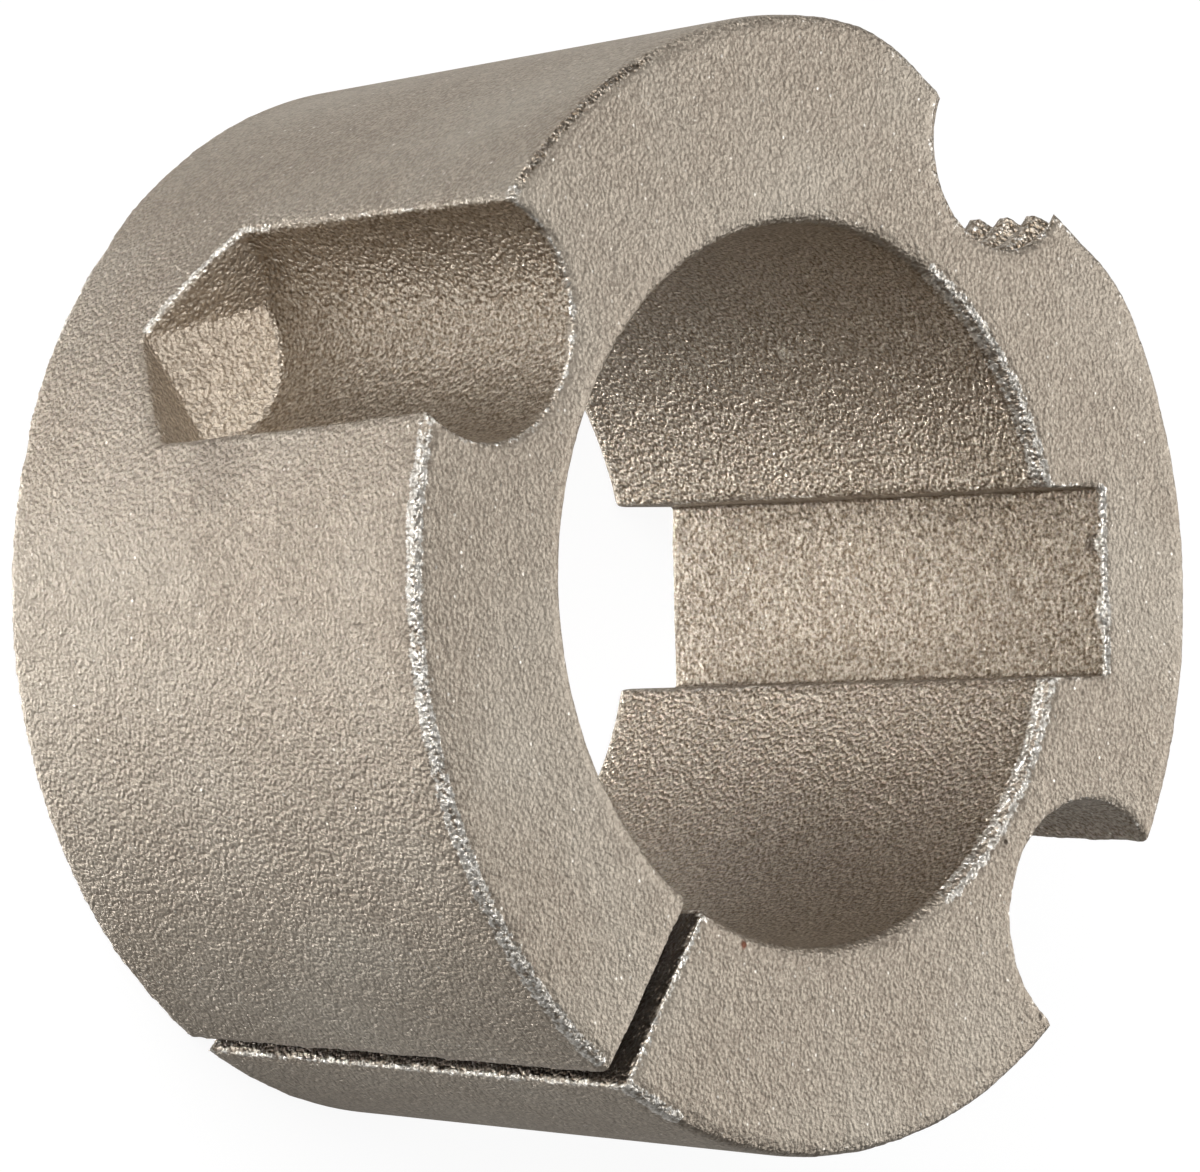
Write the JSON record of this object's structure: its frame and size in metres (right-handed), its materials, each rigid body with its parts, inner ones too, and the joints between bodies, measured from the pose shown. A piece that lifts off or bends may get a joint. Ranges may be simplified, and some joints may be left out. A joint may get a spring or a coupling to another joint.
{
  "type": "taper bush",
  "caption": "Split tapered ring that locks a pulley or sprocket on a keyed shaft; plain and threaded half-holes in its rim pull it in and jack it out.",
  "frame": {"origin": "centre of the small end, on the bush axis; the bush stands on that end", "axes": "+Z along the bush axis from the small end to the large face, +X through the middle of the keyway"},
  "size_m": [0.0476, 0.0476, 0.0254],
  "materials": {
    "sintered_iron": "phosphated, matte, with bright worn edges"
  },
  "bodies": {
    "root": {"taper_bush": "sintered_iron"}
  },
  "joints": []
}
